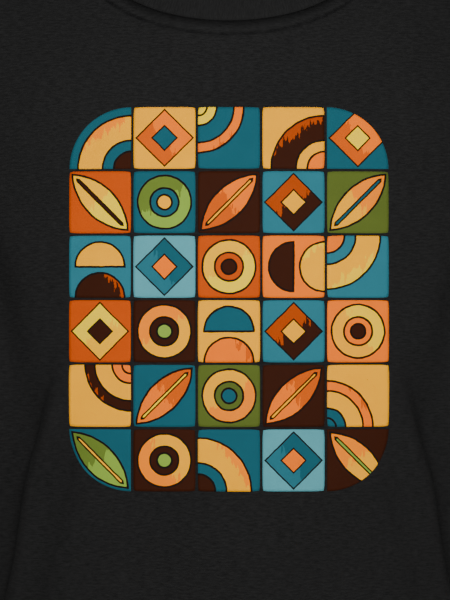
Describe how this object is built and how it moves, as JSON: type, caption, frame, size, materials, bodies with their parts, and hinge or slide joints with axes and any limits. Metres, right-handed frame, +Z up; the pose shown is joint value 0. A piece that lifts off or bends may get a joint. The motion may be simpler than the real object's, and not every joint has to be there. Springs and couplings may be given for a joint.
{
  "type": "t-shirt",
  "caption": "Short-sleeved crew-neck T-shirt in black jersey, in its worn shape, with a ribbed collar and a printed geometric mosaic on the chest.",
  "frame": {"origin": "midway between the two high shoulder points, where the shoulder seams meet the neck rib", "axes": "+Z up, the front faces -Y, +X to the right as seen from the front"},
  "size_m": [0.6982, 0.2333, 0.7069],
  "materials": {
    "jersey": "black single-jersey cotton, matt with a faint sheen",
    "rib": "black one-by-one rib knit, matt",
    "tape": "black twill tape, matt",
    "print": "flat screen-print ink in teal, orange, amber, green, cream and brown, satin"
  },
  "bodies": {
    "root": {"front_panel": "jersey", "back_panel": "jersey", "left_sleeve": "jersey", "right_sleeve": "jersey", "neck_rib": "rib", "neck_tape": "tape", "chest_print": "print"}
  },
  "joints": []
}
